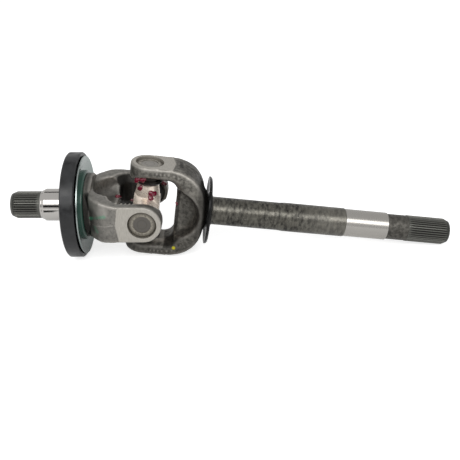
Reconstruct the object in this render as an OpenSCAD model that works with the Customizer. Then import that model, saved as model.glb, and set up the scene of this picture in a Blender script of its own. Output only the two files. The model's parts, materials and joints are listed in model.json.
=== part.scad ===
// Steering axle shaft: a hub end shaft and an inner shaft joined by a universal joint.
// The part lies as it rests on a floor: the hub end shaft is level, along X, and the inner
// shaft slopes down to the floor at its splined end. The origin is the centre of the hub seal.

/* [Universal joint] */
// Distance from the middle of the hub seal to the joint's centre
seal_to_joint = 97.4; // [96:0.1:110]
// Distance from the joint's centre to each machined ear pad
pad_reach = 65.7; // [65:0.1:72]
// Diameter of the bearing cap bores in the ears
cap_bore_d = 39; // [38:0.1:41]
// Diameter of the trunnions of the cross
trunnion_d = 26; // [24:0.1:26.5]
// Diameter of the needle rollers
needle_d = 3; // [2.5:0.05:3.2]
// Length of the needle rollers
needle_len = 15; // [12:0.5:15.5]
// Turn of the inner shaft about its own pin axis as the part lies at rest
rest_yaw = 2.7; // [-12:0.1:12]

/* [Yokes] */
// Radius of the rounded ear tips
ear_r = 26.5; // [25:0.1:29]
// Thickness of each ear, from its pad to its machined inner face
ear_t = 20.7; // [19:0.1:22]
// Outer radius of the bend from each arm into the yoke's root
bend_r = 49; // [46:0.5:54]
// Distance along the shaft from the joint's centre to the centre of the arms' bend
bend_x = 32; // [28:0.5:34]
// Half width of each yoke where the arms meet at its root
root_half_w = 32; // [30:0.5:36]
// Distance from the joint's centre to the crotch of the yoke
crotch_x = 40.5; // [38:0.5:43]
// Radius in the inner corners of the yoke's window
corner_r = 14; // [8:0.5:18]
// Radius of the round scoops in both sides of the yoke's root
scoop_r = 36; // [30:0.5:37]
// Thickness of the web between the two scoops
web_t = 10; // [6:0.5:16]

/* [Bearing caps] */
// Depth of the cap's face below the ear pad
cap_recess = 2.3; // [1:0.1:3]
// Thickness of the cap's floor
cap_floor = 4; // [3:0.1:5]
// Height of the cap below the ear's inner face, which carries the clip
cap_skirt = 5; // [4.5:0.1:6]
// Diameter of the dimple in the cap's face
dimple_d = 24; // [10:0.5:26]
// Thickness of the retaining clips
clip_t = 1.6; // [1.2:0.1:2]
// Thickness of the thrust washers on the trunnion ends
washer_t = 0.8; // [0.5:0.1:1.2]

/* [Hub end shaft] */
// Outside diameter of both splines
spline_d = 38.1; // [36:0.1:39]
// Number of teeth on both splines
spline_teeth = 35; // [24:1:40]
// Depth of the spline teeth
tooth_depth = 1.5; // [1:0.05:1.8]
// Length of the hub end spline
stub_spline_len = 41.7; // [30:0.1:60]
// Diameter of the ground bearing journal beside the hub seal
stub_journal_d = 45.5; // [42:0.1:50]
// Length of the ground bearing journal
stub_journal_len = 35.5; // [25:0.1:60]

/* [Hub seal] */
// Outside diameter of the hub seal
seal_d = 148; // [144:0.5:156]
// Width of the hub seal
seal_w = 19; // [16:0.5:21]
// Thickness of the seal's rubber rim
rim_t = 5; // [3:0.1:6]
// Distance that the edge of the seal's dust disc stands out of the rim
disc_proud = 3.6; // [2:0.1:5]
// Depth of the dust disc's dish
dish_depth = 5.5; // [3:0.1:6.5]
// Diameter of the shoulder that carries the seal's sleeve
seat_d = 66; // [60:0.5:72]
// Diameter of the coated collar between the seal and the yoke
collar_d = 98; // [90:0.5:104]
// Width of the coated collar
collar_w = 6.4; // [4:0.1:8]

/* [Inner shaft] */
// Distance from the joint's centre to the slinger
slinger_x = 88; // [87:0.5:94]
// Outside diameter of the slinger
slinger_d = 96.2; // [80:0.1:100]
// Diameter of the forged shaft beside the slinger
shaft_d = 40; // [36:0.1:41]
// Length of the forged shaft from the slinger to the thicker stretch
shaft_len = 101; // [60:1:160]
// Diameter of the thicker stretch of the shaft
swell_d = 41.5; // [41.2:0.1:46]
// Length of the thicker stretch of the shaft
swell_len = 97; // [40:1:160]
// Diameter of the ground oil seal journal
journal_d = 40; // [38.4:0.1:41]
// Length of the ground oil seal journal
journal_len = 64; // [40:1:90]
// Diameter of the neck before the inner spline
neck_d = 37; // [36:0.1:38]
// Length of the neck before the inner spline
neck_len = 30; // [16:1:50]
// Length of the inner spline
inner_spline_len = 62.5; // [40:0.5:90]

/* [Hidden] */
$fn = 96;
// Small working values: cuts run past their faces by over, and fits leave these gaps
over = 1;
cap_fit = 0.02;
needle_gap = 0.04;
lip_gap = 0.1;
seal_gap = 0.4;
face_gap = 0.1;

// Yoke: the arm's outer face has a low ridge on the forging's parting line
ear_face = pad_reach - ear_t;
ridge_h = 0.2;
flash_w = 1.6;
flash_h = 0.45;
bend_z = pad_reach + ridge_h - bend_r;
blank_margin = 8;
blank_half_w = root_half_w + blank_margin;
edge_bend_r = bend_r - ridge_h;
flat_half_w = 14;
flare = 0.62;
window_z = ear_face - corner_r;
window_x = crotch_x - corner_r;
scoop_set_back = 3.5;
scoop_x = crotch_x - scoop_set_back;
scoop_blend_r = 16;
root_x = bend_x + bend_r;
root_chamfer = 2;

// Bearing caps: heights are measured from the joint's centre along the pin
cap_r = cap_bore_d / 2 - cap_fit;
cap_top = pad_reach - cap_recess;
cap_mouth = ear_face - cap_skirt;
cap_inside_r = trunnion_d / 2 + needle_d + 2 * needle_gap;
cap_inside_top = cap_top - cap_floor;
cap_edge_r = 3.4;
dimple_depth = 0.7;
clip_play = 0.2;
clip_groove = clip_t + clip_play;
clip_groove_top = ear_face - face_gap;
clip_groove_depth = 1.6;
clip_groove_r = cap_r - clip_groove_depth;
clip_stand = 3;
clip_out_r = cap_r + clip_stand;
clip_gap_angle = 70;
trunnion_end = cap_inside_top - washer_t - face_gap;
trunnion_chamfer = 1;
needle_top = trunnion_end - trunnion_chamfer;
needle_pitch_r = trunnion_d / 2 + needle_gap + needle_d / 2;
needle_count = floor(180 / asin((needle_d / 2 + needle_gap / 2) / needle_pitch_r));

// Cross: shoulders swell from the trunnions to the middle
shoulder_step = 2;
shoulder_r = trunnion_d / 2 + shoulder_step;
shoulder_gap = 1.5;
shoulder_top = cap_mouth - shoulder_gap;
shoulder_len = 5.5;
shoulder_foot = shoulder_top - shoulder_len;
hub_swell = 2.8;
hub_r = shoulder_r + hub_swell;
hub_half = 16;
heart_r = 25;
seal_lip_len = 4.5;
seal_lip_foot = cap_mouth - seal_lip_len;
seal_lip_t = 1;
seal_inset = 0.5;
washer_inset = 0.6;

// Splines
tooth_tip = 0.16;
tooth_root = 0.42;
lead_len = 7;
lead_r = 3;
runout_len = 7;
runout_rise = 0.4;
spline_root_r = spline_d / 2 - tooth_depth;
centre_r = 5;

// Hub end shaft: distances from the joint's centre
seal_near = seal_to_joint - seal_w / 2;
seal_far = seal_to_joint + seal_w / 2;
collar_near = seal_near - collar_w;
yoke_collar_step = 4;
yoke_collar_r = collar_d / 2 - yoke_collar_step;
yoke_collar_w = 9.4;
seat_chamfer = 1;
seat_inset = 1.5;
seat_end = seal_far - seat_inset;
journal_fillet = 2;
journal_blend = 6;
groove_w = 0.9;
groove_depth = 0.6;
stub_journal_end = seat_end + stub_journal_len;
stub_tip = stub_journal_end + journal_blend + stub_spline_len;

// Hub seal
seal_r = seal_d / 2;
disc_t = 1.6;
disc_rim = 1.2;
collar_edge_r = 2.5;
case_chamfer = 1.5;
disc_r = seal_r - rim_t - seal_gap;
disc_edge = seal_near - disc_proud;
disc_web = disc_edge + dish_depth;
dish_clear = 2;
dish_r = collar_d / 2 + dish_clear;
sleeve_t = 3.5;
sleeve_end = seat_end - seat_chamfer;
lip_r = seat_d / 2 + sleeve_t + seal_gap;
lip_t = 4;
case_wall = 4;
lip_clear = 3;
lip_near = disc_web + disc_t + lip_clear;
spring_r = 1.2;
spring_set_back = 3;
spring_x = lip_near + spring_set_back;

// Inner shaft: distances from the joint's centre
slinger_t = 2;
slinger_seat_step = 2;
slinger_seat_r = shaft_d / 2 + slinger_seat_step;
slinger_lip_w = 9;
slinger_lip_t = 3;
slinger_lip_h = 2;
slinger_bulge = 0.6;
slinger_fillet = 1;
slinger_shoulder = 3;
slinger_hub_t = 2.2;
slinger_hub_len = 7;
slinger_near = slinger_x - slinger_hub_len / 2;
slinger_far = slinger_x + slinger_hub_len / 2;
swell_ramp = 8;
swell_step = 1;
journal_chamfer = 1.5;
swell_x = slinger_x + shaft_len;
journal_x = swell_x + swell_len;
neck_x = journal_x + journal_len;
inner_spline_x = neck_x + neck_len;
inner_tip = inner_spline_x + inner_spline_len;

// Rest: the inner spline's rim and the hub seal's rim lie on one floor
rim_x = inner_tip - lead_len;
rim_share = 0.99;
rest_slope = asin((seal_r - spline_d / 2 * rim_share) / (rim_x * cos(rest_yaw)));

EARS = ["upper", "lower", "front", "rear"];
EAR_PIECES = ["cap", "needles", "clip", "cap_seal", "thrust_washer"];

forged = [0.36, 0.35, 0.34];
steel = [0.72, 0.72, 0.70];
zinc = [0.66, 0.70, 0.69];
rubber = [0.07, 0.07, 0.08];
green_coat = [0.15, 0.28, 0.23];
nylon = [0.85, 0.83, 0.75];

// Places: each shaft is drawn along +X from the joint's centre, with its pins along Z
module at_inner() {
    translate([seal_to_joint, 0, 0]) rotate([0, rest_slope, 0]) rotate([0, 0, rest_yaw]) children();
}
module at_cross() {
    translate([seal_to_joint, 0, 0]) rotate([0, rest_slope, 0]) children();
}
module at_stub() {
    translate([seal_to_joint, 0, 0]) rotate([0, 0, 180]) rotate([90, 0, 0]) children();
}
module at_ear(ear) {
    if (ear == "upper") at_inner() children();
    if (ear == "lower") at_inner() rotate([180, 0, 0]) children();
    if (ear == "rear") at_stub() children();
    if (ear == "front") at_stub() rotate([180, 0, 0]) children();
}

// Turns a profile of [distance along X, radius] points about the X axis
module turned(profile) {
    rotate([0, 90, 0]) rotate_extrude() polygon([for (p = profile) [p[1], p[0]]]);
}

// Turns a profile of [radius, half width] points about an axis along Y, the same on both sides
module turned_across(profile) {
    rotate([90, 0, 0]) rotate_extrude() polygon(profile);
}

// Outline of a toothed spline
function spline_outline() = [
    for (i = [0 : spline_teeth - 1]) for (p = [[0, -tooth_root], [1, -tooth_tip], [1, tooth_tip],
                                               [0, tooth_root]])
        let (a = (i + p[1]) * 360 / spline_teeth, r = spline_root_r + p[0] * tooth_depth)
            [r * cos(a), r * sin(a)]
];

// Splined shaft end from x to tip, with a lead chamfer at the tip and a run-out cone at the root
module splined_end(x, tip, neck_r) {
    r = spline_d / 2;
    intersection() {
        translate([x, 0, 0]) rotate([0, 90, 0]) linear_extrude(tip - x) polygon(spline_outline());
        turned([[x, 0], [x, r + over], [tip - lead_len - over * lead_len / lead_r, r + over],
                [tip, r - lead_r], [tip, 0]]);
    }
    turned([[x - over, 0], [x - over, neck_r], [x, neck_r], [x + runout_len, spline_root_r],
            [x + runout_len, 0]]);
}

// Lathe centre in a shaft's end face
module lathe_centre(tip) {
    turned([[tip - centre_r * sqrt(3), 0], [tip, centre_r], [tip + over, centre_r], [tip + over, 0]]);
}

// Outer form of a yoke seen from the side: two bent arms with a ridge along the parting line
module arm_side_form() {
    w = blank_half_w;
    h = bend_z + bend_r;
    for (s = [-1, 1]) translate([bend_x, 0, s * bend_z]) turned_across([
        [0, -w], [edge_bend_r, -w], [bend_r, -flash_w], [bend_r + flash_h, 0], [bend_r, flash_w],
        [edge_bend_r, w], [0, w]
    ]);
    translate([-ear_r - over, 0, 0]) rotate([90, 0, 90]) linear_extrude(bend_x + ear_r + over) polygon([
        [-w, h - ridge_h], [-flash_w, h], [0, h + flash_h], [flash_w, h], [w, h - ridge_h],
        [w, ridge_h - h], [flash_w, -h], [0, -h - flash_h], [-flash_w, -h], [-w, ridge_h - h]
    ]);
    translate([bend_x, -w, -bend_z]) cube([bend_r, 2 * w, 2 * bend_z]);
}

// Outer form of a yoke seen along its pins: round ear tips, and sides that widen to the root
module arm_plan_form() {
    h = pad_reach + over;
    translate([0, 0, -h]) linear_extrude(2 * h) union() {
        circle(ear_r);
        polygon([
            [0, -ear_r], [bend_x, -ear_r], [scoop_x + scoop_r, -root_half_w], [root_x, -root_half_w],
            [root_x, root_half_w], [scoop_x + scoop_r, root_half_w], [bend_x, ear_r], [0, ear_r]
        ]);
    }
}

// Window between the arms: flat in the middle and flared to both sides like a drafted forging
module yoke_window() {
    w = blank_half_w;
    f = flare * (w - flat_half_w);
    h = window_z + corner_r;
    start = -ear_r - 2 * over;
    translate([start, 0, 0]) rotate([90, 0, 90]) linear_extrude(window_x - start) polygon([
        [-w, h + f], [-flat_half_w, h], [flat_half_w, h], [w, h + f],
        [w, -h - f], [flat_half_w, -h], [-flat_half_w, -h], [-w, -h - f]
    ]);
    for (s = [-1, 1]) translate([window_x, 0, s * window_z]) turned_across([
        [0, -w], [corner_r + f, -w], [corner_r, -flat_half_w], [corner_r, flat_half_w],
        [corner_r + f, w], [0, w]
    ]);
    translate([0, 0, -window_z]) linear_extrude(2 * window_z) polygon([
        [start, -w], [crotch_x + f, -w], [crotch_x, -flat_half_w], [crotch_x, flat_half_w],
        [crotch_x + f, w], [start, w]
    ]);
}

// Round scoop in one side of the yoke's root, which clears the other yoke's swinging ears
module side_scoop() {
    floor_y = web_t / 2;
    translate([scoop_x, 0, 0]) rotate([-90, 0, 0]) rotate_extrude() union() {
        translate([0, floor_y + scoop_blend_r]) square([scoop_r, blank_half_w]);
        translate([0, floor_y]) square([scoop_r - scoop_blend_r, blank_half_w]);
        intersection() {
            translate([scoop_r - scoop_blend_r, floor_y + scoop_blend_r]) circle(scoop_blend_r);
            square([scoop_r, blank_half_w]);
        }
    }
}

// Outer form of a forged yoke, cut off square at root_face
module yoke_blank(root_face) {
    intersection() {
        arm_side_form();
        arm_plan_form();
        translate([-ear_r - over, -blank_half_w, -pad_reach])
            cube([root_face + ear_r + over, 2 * blank_half_w, 2 * pad_reach]);
    }
}

// Everything that is cut out of a yoke: its window, its side scoops and the bores of its ears
module yoke_cuts() {
    yoke_window();
    side_scoop();
    rotate([180, 0, 0]) side_scoop();
    translate([0, 0, -pad_reach - over]) cylinder(d = cap_bore_d, h = 2 * (pad_reach + over));
}

module inner_shaft() {
    hub_overlap = 6;
    hub_x = scoop_x + scoop_r - hub_overlap;
    color(forged) at_inner() difference() {
        union() {
            yoke_blank(root_x);
            turned([
                [hub_x, 0], [hub_x, root_half_w], [root_x - root_chamfer, root_half_w],
                [root_x, root_half_w - root_chamfer], [slinger_near, slinger_seat_r + slinger_shoulder],
                [slinger_near, slinger_seat_r], [slinger_far, slinger_seat_r],
                [slinger_far + slinger_seat_step, shaft_d / 2], [swell_x, shaft_d / 2],
                [swell_x + swell_ramp, swell_d / 2], [journal_x - swell_step, swell_d / 2],
                [journal_x, journal_d / 2], [neck_x - journal_chamfer, journal_d / 2], [neck_x, neck_d / 2],
                [inner_spline_x, neck_d / 2], [inner_spline_x, 0]
            ]);
            splined_end(inner_spline_x, inner_tip, neck_d / 2);
        }
        yoke_cuts();
        lathe_centre(inner_tip);
    }
}

module stub_shaft() {
    seat_r = seat_d / 2;
    journal_r = stub_journal_d / 2;
    collar_x = collar_near - yoke_collar_w;
    spline_x = stub_journal_end + journal_blend;
    neck_r = spline_d / 2 + runout_rise;
    groove_x = spline_x - journal_blend / 2;
    groove_r = (journal_r + neck_r) / 2;
    groove_far_r = groove_r + (neck_r - journal_r) * groove_w / journal_blend;
    color(forged) at_stub() difference() {
        union() {
            yoke_blank(collar_near - over);
            turned([
                [collar_x, 0], [collar_x, yoke_collar_r - root_chamfer],
                [collar_x + root_chamfer, yoke_collar_r], [collar_near, yoke_collar_r],
                [collar_near, seat_r], [sleeve_end, seat_r], [seat_end, seat_r - seat_chamfer],
                [seat_end, journal_r + journal_fillet], [seat_end + journal_fillet, journal_r],
                [stub_journal_end, journal_r], [groove_x, groove_r],
                [groove_x, groove_r - groove_depth], [groove_x + groove_w, groove_r - groove_depth],
                [groove_x + groove_w, groove_far_r], [spline_x, neck_r], [spline_x, 0]
            ]);
            splined_end(spline_x, stub_tip, neck_r);
        }
        yoke_cuts();
        lathe_centre(stub_tip);
    }
}

// Four-armed cross with ground trunnions on swelling shoulders
module cross() {
    profile = [
        [0, 0], [hub_r, 0], [hub_r, hub_half], [shoulder_r, shoulder_foot], [shoulder_r, shoulder_top],
        [trunnion_d / 2, shoulder_top], [trunnion_d / 2, trunnion_end - trunnion_chamfer],
        [trunnion_d / 2 - trunnion_chamfer, trunnion_end], [0, trunnion_end]
    ];
    color(steel) at_cross() union() {
        for (turn = [0 : 90 : 270]) rotate([turn, 0, 0]) rotate_extrude() polygon(profile);
        intersection() {
            sphere(heart_r);
            translate([-hub_r, -heart_r, -heart_r]) cube([2 * hub_r, 2 * heart_r, 2 * heart_r]);
        }
    }
}

// Drawn bearing cap: a cup with a rounded edge, a dimpled face and a groove for its clip
module cap() {
    color(steel) rotate_extrude() difference() {
        union() {
            translate([0, cap_mouth]) square([cap_r, cap_top - cap_edge_r - cap_mouth]);
            translate([0, cap_mouth]) square([cap_r - cap_edge_r, cap_top - cap_mouth]);
            intersection() {
                translate([cap_r - cap_edge_r, cap_top - cap_edge_r]) circle(cap_edge_r);
                translate([0, cap_mouth]) square([cap_r, cap_top - cap_mouth]);
            }
        }
        translate([0, cap_mouth - over]) square([cap_inside_r, cap_inside_top - cap_mouth + over]);
        translate([0, cap_top - dimple_depth]) square([dimple_d / 2, dimple_depth + over]);
        translate([clip_groove_r, clip_groove_top - clip_groove]) square([cap_r, clip_groove]);
    }
}

// Full set of needle rollers round one trunnion
module needles() {
    color(steel) for (i = [0 : needle_count - 1]) rotate([0, 0, i * 360 / needle_count])
        translate([needle_pitch_r, 0, needle_top - needle_len])
            cylinder(d = needle_d, h = needle_len, $fn = 24);
}

// Open clip in the cap's groove, which bears on the ear's inner face
module clip() {
    color(forged) translate([0, 0, clip_groove_top - (clip_groove + clip_t) / 2])
        rotate([0, 0, clip_gap_angle / 2 - 90]) rotate_extrude(angle = 360 - clip_gap_angle)
            translate([clip_groove_r + face_gap / 2, 0])
                square([clip_out_r - clip_groove_r - face_gap / 2, clip_t]);
}

// Rubber lip that closes the cap's mouth round the cross's shoulder
module cap_seal() {
    in_r = shoulder_r + lip_gap;
    color(rubber) rotate_extrude() polygon([
        [in_r, seal_lip_foot], [in_r + seal_lip_t, seal_lip_foot],
        [cap_r - seal_inset, cap_mouth - seal_lip_t], [cap_r - seal_inset, cap_mouth], [in_r, cap_mouth]
    ]);
}

// Thrust washer between the cap's floor and the trunnion's end
module thrust_washer() {
    color(nylon) translate([0, 0, trunnion_end + face_gap])
        cylinder(r = trunnion_d / 2 - washer_inset, h = washer_t);
}

// Pressed dish that throws dirt off the shaft
module slinger() {
    r = slinger_d / 2;
    seat = slinger_seat_r + cap_fit;
    hub = seat + slinger_hub_t;
    near = slinger_x - slinger_t / 2;
    far = near + slinger_t;
    color(rubber) at_inner() turned([
        [slinger_near, seat], [slinger_near, hub], [near, hub + slinger_fillet], [near, r - slinger_lip_w],
        [near - slinger_lip_h, r - slinger_lip_t], [near - slinger_lip_h, r], [near, r],
        [far, r - slinger_lip_h], [far + slinger_bulge, r - slinger_lip_w], [far, hub],
        [slinger_far, hub], [slinger_far, seat]
    ]);
}

// Coated ring with a rounded edge, pressed on the shoulder between the yoke and the seal
module drive_collar() {
    in_r = seat_d / 2 + cap_fit;
    edge_r = collar_d / 2 - collar_edge_r;
    edge_x = collar_near + collar_edge_r;
    color(green_coat) at_stub() rotate([0, 90, 0]) rotate_extrude() union() {
        translate([in_r, collar_near]) square([edge_r - in_r, disc_web - collar_near]);
        translate([in_r, edge_x]) square([collar_d / 2 - in_r, disc_web - edge_x]);
        translate([edge_r, edge_x]) circle(collar_edge_r);
    }
}

// Steel sleeve of the seal, which turns with the shaft, with its wide dished dust disc
module seal_sleeve() {
    in_r = seat_d / 2 + cap_fit;
    out_r = seat_d / 2 + sleeve_t;
    color(zinc) at_stub() turned([
        [disc_web, in_r], [disc_web, dish_r], [disc_edge, disc_r - disc_rim], [disc_edge, disc_r],
        [disc_edge + disc_t, disc_r], [disc_web + disc_t, dish_r], [disc_web + disc_t, out_r],
        [sleeve_end, out_r], [sleeve_end, in_r]
    ]);
}

// Rubber-covered outer case of the seal, with its lip round the sleeve
module seal_case() {
    color(rubber) at_stub() difference() {
        turned([
            [seal_near, seal_r - rim_t], [seal_near, seal_r - case_chamfer],
            [seal_near + case_chamfer, seal_r], [seal_far - case_chamfer, seal_r],
            [seal_far, seal_r - case_chamfer], [seal_far, lip_r],
            [lip_near, lip_r], [lip_near, lip_r + lip_t], [seal_far - case_wall, lip_r + lip_t],
            [seal_far - case_wall, seal_r - rim_t]
        ]);
        translate([spring_x, 0, 0]) rotate([0, 90, 0]) rotate_extrude()
            translate([lip_r + lip_t, 0]) circle(spring_r + face_gap, $fn = 24);
    }
}

// Coiled spring that presses the seal's lip on the sleeve, drawn as its outer ring
module garter_spring() {
    color(steel) at_stub() translate([spring_x, 0, 0]) rotate([0, 90, 0]) rotate_extrude()
        translate([lip_r + lip_t, 0]) circle(spring_r, $fn = 24);
}

inner_shaft();
slinger();
cross();
stub_shaft();
drive_collar();
seal_sleeve();
seal_case();
garter_spring();
for (ear = EARS) {
    at_ear(ear) cap();
    at_ear(ear) needles();
    at_ear(ear) clip();
    at_ear(ear) cap_seal();
    at_ear(ear) thrust_washer();
}
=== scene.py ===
# %% [markdown]
# This lesson dresses a steering axle shaft: two forged steel shafts that meet in a universal joint.
# The frame already holds every piece at its real size, so the work here is the look of forged, milled,
# ground and coated surfaces. The frame comes first, because each piece below is placed by it.

# %% Load the frame
import json
import math

import bmesh
import bpy
import numpy as np
from mathutils import Matrix, Vector


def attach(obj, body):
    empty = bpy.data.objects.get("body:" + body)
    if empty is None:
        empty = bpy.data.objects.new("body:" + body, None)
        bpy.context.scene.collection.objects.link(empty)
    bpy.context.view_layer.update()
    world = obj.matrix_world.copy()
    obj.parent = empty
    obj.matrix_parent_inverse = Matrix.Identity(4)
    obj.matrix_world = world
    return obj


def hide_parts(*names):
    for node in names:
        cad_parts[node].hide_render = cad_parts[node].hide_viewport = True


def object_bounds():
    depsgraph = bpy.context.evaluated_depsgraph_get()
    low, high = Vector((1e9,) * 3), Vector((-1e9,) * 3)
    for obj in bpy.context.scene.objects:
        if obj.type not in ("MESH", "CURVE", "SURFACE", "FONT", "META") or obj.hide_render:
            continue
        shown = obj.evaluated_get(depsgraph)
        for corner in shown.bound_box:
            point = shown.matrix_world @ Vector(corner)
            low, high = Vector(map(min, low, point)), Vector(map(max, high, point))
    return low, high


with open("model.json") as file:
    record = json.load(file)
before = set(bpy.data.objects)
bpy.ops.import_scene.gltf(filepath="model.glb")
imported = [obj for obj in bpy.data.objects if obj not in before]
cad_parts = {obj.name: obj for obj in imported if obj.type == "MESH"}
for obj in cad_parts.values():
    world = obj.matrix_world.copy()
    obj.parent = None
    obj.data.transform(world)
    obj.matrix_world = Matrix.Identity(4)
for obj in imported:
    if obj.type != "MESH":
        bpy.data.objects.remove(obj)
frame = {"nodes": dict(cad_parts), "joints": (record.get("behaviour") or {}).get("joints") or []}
cad_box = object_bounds()
nodes = frame["nodes"]
MM = 0.001

# %% [markdown]
# Both shafts are easiest to describe from the centre of the joint: x runs along the shaft, z along the
# two bearing caps in its ears. Two matrices carry such a frame into place. The slope of the inner shaft
# is read from its pivot, so the looks follow the part if its rest pose changes.

# %% Frames of the two shafts
joints = {joint["name"]: joint for joint in frame["joints"]}
CENTRE = Vector(joints["hub_pivot"]["pos_m"])
inner_pin = Vector(joints["inner_pivot"]["axis"])
REST_SLOPE = math.atan2(inner_pin.x, inner_pin.z)
REST_YAW = math.radians(2.7)
QUARTER = math.pi / 2
INNER_TURN = Matrix.Rotation(REST_SLOPE, 4, "Y") @ Matrix.Rotation(REST_YAW, 4, "Z")
HUB_TURN = Matrix.Rotation(math.pi, 4, "Z") @ Matrix.Rotation(QUARTER, 4, "X")
INNER = Matrix.Translation(CENTRE) @ INNER_TURN
HUB = Matrix.Translation(CENTRE) @ HUB_TURN


def to_local(points, place):
    """Points of the row frame, in metres, seen from a shaft's own frame, in millimetres."""
    inverse = np.array(place.inverted())
    return (points @ inverse[:3, :3].T + inverse[:3, 3]) / MM


def to_row(points, place):
    """Points of a shaft's own frame, in millimetres, put into the row frame, in metres."""
    matrix = np.array(place)
    return points * MM @ matrix[:3, :3].T + matrix[:3, 3]


print("inner shaft slopes down by", round(math.degrees(REST_SLOPE), 2), "degrees")

# %% [markdown]
# The camera stands in front of the joint, a little above it, and looks down at 28 degrees. Its lens is
# given by the picture's width and the focal length in pixels, so the part fills the picture as it should.

# %% Camera
IMAGE_PX = 460
FOCAL_PX = 680.07
SENSOR_MM = 36.0
CAMERA_FROM_JOINT = Vector((0.113577, -0.869887, 0.418895))
CAMERA_DOWN = 27.887
CAMERA_AZIMUTH = -0.2955

camera_data = bpy.data.cameras.new("camera")
camera_data.sensor_width = SENSOR_MM
camera_data.lens = SENSOR_MM * FOCAL_PX / IMAGE_PX
camera = bpy.data.objects.new("camera", camera_data)
camera.location = CENTRE + CAMERA_FROM_JOINT
camera.rotation_euler = (math.radians(90 - CAMERA_DOWN), 0, math.radians(CAMERA_AZIMUTH))
bpy.context.scene.collection.objects.link(camera)
bpy.context.scene.camera = camera
print("camera lens:", round(camera_data.lens, 2), "mm")

# %% [markdown]
# Every material below is a small tree of nodes. One helper adds a node, sets its properties and either
# fills or links each socket, so a finish reads as a short list. Colours are written as sRGB hex values,
# the way a colour picker shows them, and turned to linear light by one function.

# %% Node helper and colours
def add_node(tree, kind, sockets=None, **settings):
    """Adds one node. A socket's value is a plain value, or the output of another node to link."""
    node = tree.nodes.new(kind)
    for name, value in settings.items():
        setattr(node, name, value)
    for key, value in (sockets or {}).items():
        socket = node.inputs[key]
        if isinstance(value, bpy.types.NodeSocket):
            tree.links.new(value, socket)
        else:
            socket.default_value = value
    return node


def linear(hex_colour):
    """Linear RGBA of an sRGB hex colour: the standard curve on each of its three bytes."""
    srgb = np.array([int(hex_colour[i:i + 2], 16) for i in (1, 3, 5)]) / 255
    light = np.where(srgb <= 0.04045, srgb / 12.92, ((srgb + 0.055) / 1.055) ** 2.4)
    return (*light.tolist(), 1.0)


print("node helper ready")

# %% [markdown]
# The studio is a white sweep under one wide soft lamp. A mirror sees this room in parts: the lamp, the walls
# and the floor. The sky stands for the walls. The camera sees it white, but in a reflection it is dimmer than
# the floor, so the tops of shiny pieces are a little darker. It fills the shadows with less light still.

# %% Sky
FILL_LEVEL = 0.48
WALL_LEVEL = 0.7
WHITE = (1, 1, 1, 1)

scene = bpy.context.scene
scene.view_settings.view_transform = "Standard"


def level_by_ray(tree, camera_level, mirror_level, fill_level):
    """Brightness for rays of the camera, for reflections and glass, and for the light that fills."""
    path = add_node(tree, "ShaderNodeLightPath")
    mirrored = add_node(tree, "ShaderNodeMath", {
        0: path.outputs["Is Glossy Ray"], 1: path.outputs["Is Transmission Ray"]}, operation="MAXIMUM")
    unseen = add_node(tree, "ShaderNodeMapRange", {
        "Value": mirrored.outputs[0], "To Min": fill_level, "To Max": mirror_level}).outputs[0]
    return add_node(tree, "ShaderNodeMapRange", {
        "Value": path.outputs["Is Camera Ray"], "To Min": unseen, "To Max": camera_level}).outputs[0]


world = bpy.data.worlds.new("studio")
world.use_nodes = True
scene.world = world
world.node_tree.nodes.clear()
sky_level = level_by_ray(world.node_tree, 1.0, WALL_LEVEL, FILL_LEVEL)
sky = add_node(world.node_tree, "ShaderNodeBackground", {"Color": WHITE, "Strength": sky_level})
add_node(world.node_tree, "ShaderNodeOutputWorld", {"Surface": sky.outputs[0]})
print("sky:", WALL_LEVEL, "in reflections and", FILL_LEVEL, "as fill")

# %% [markdown]
# The floor is white paper. Lit paper alone would look grey beside a white sky, so it glows as well, but only
# for the camera and, fainter, for mirrors. The glow sheds no light on the object, and the shadow stays.

# %% Floor
FLOOR_Z = cad_box[0][2]
FLOOR_HALF = 6.0
FLOOR_GLOW_CAMERA = 0.7
FLOOR_GLOW_MIRROR = 0.22


def stage_piece(name, corners, material):
    """Flat four-cornered piece of the studio, which is no part of the object."""
    mesh = bpy.data.meshes.new(name)
    mesh.from_pydata(np.asarray(corners, float).tolist(), [], [(0, 1, 2, 3)])
    mesh.materials.append(material)
    piece = bpy.data.objects.new(name, mesh)
    scene.collection.objects.link(piece)
    return piece


white_paper = bpy.data.materials.new("white_paper")
white_paper.use_nodes = True
tree = white_paper.node_tree
tree.nodes.clear()
paper = add_node(tree, "ShaderNodeBsdfDiffuse", {"Color": linear("#e6e6e6")})
floor_level = level_by_ray(tree, FLOOR_GLOW_CAMERA, FLOOR_GLOW_MIRROR, 0.0)
glow = add_node(tree, "ShaderNodeEmission", {"Color": WHITE, "Strength": floor_level})
both = add_node(tree, "ShaderNodeAddShader", {0: paper.outputs[0], 1: glow.outputs[0]})
add_node(tree, "ShaderNodeOutputMaterial", {"Surface": both.outputs[0]})
square = np.array([(-1, -1, 0), (1, -1, 0), (1, 1, 0), (-1, 1, 0)], float)
stage_piece("floor", FLOOR_HALF * square + (0, 0, FLOOR_Z), white_paper)
print("floor at", round(FLOOR_Z, 4), "m")

# %% [markdown]
# One wide lamp hangs just above the camera. It is longer than the part, so the round shafts get a long even
# highlight, which a small lamp would shrink to a dot.

# %% Lamp
LAMP_SIZE = (2.2, 0.65)
LAMP_CENTRE_X = 0.25
LAMP_DISTANCE = 1.25
LAMP_ELEVATION = math.radians(43)
LAMP_RADIANCE = 2.9

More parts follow.
